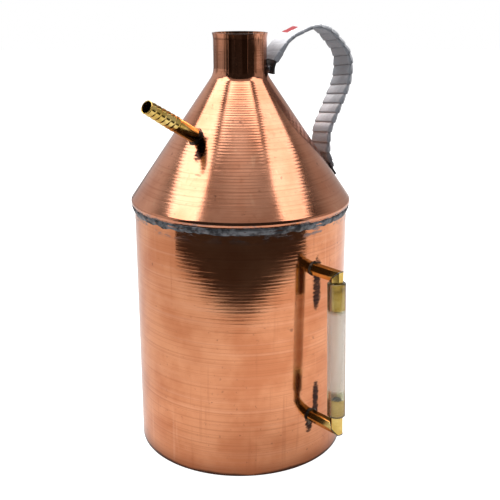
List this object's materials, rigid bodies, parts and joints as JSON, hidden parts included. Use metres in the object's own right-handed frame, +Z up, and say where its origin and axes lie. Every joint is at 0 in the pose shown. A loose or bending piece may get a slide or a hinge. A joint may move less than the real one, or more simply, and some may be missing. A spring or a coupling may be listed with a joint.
{
  "type": "laboratory steam boiler",
  "caption": "Copper cylinder with a conical top and open neck that boils water, with a side water gauge, a steam hose nozzle and a strap handle.",
  "frame": {"origin": "middle of the flat base", "axes": "+Z up through the neck; +X towards the handle, which stands in the XZ plane; the gauge is on the -Y side and the nozzle on the -X side"},
  "size_m": [0.1222, 0.1358, 0.2298],
  "materials": {
    "copper_body": "polished with fine lathe rings",
    "copper_cone": "polished with fine lathe rings",
    "brass": "turned and polished",
    "solder": "dull grey soft solder",
    "dark_solder": "dark flux-stained solder",
    "clear_tube": "milky translucent flexible tube",
    "black_steel": "black",
    "cloth_tape": "white-grey woven cloth tape"
  },
  "bodies": {
    "root": {"body_shell": "copper_body", "bottom_plate": "copper_body", "cone_top": "copper_cone", "shoulder_solder": "solder", "bottom_solder": "solder", "steam_nozzle": "brass", "nozzle_solder": "dark_solder", "upper_gauge_arm": "brass", "lower_gauge_arm": "brass", "upper_gauge_spigot": "brass", "lower_gauge_spigot": "brass", "upper_elbow_solder": "solder", "lower_elbow_solder": "solder", "upper_arm_solder": "dark_solder", "lower_arm_solder": "dark_solder", "gauge_tube": "clear_tube", "handle_strap": "black_steel", "handle_wrap": "cloth_tape", "handle_upper_solder": "solder", "handle_lower_solder": "dark_solder"}
  },
  "joints": []
}
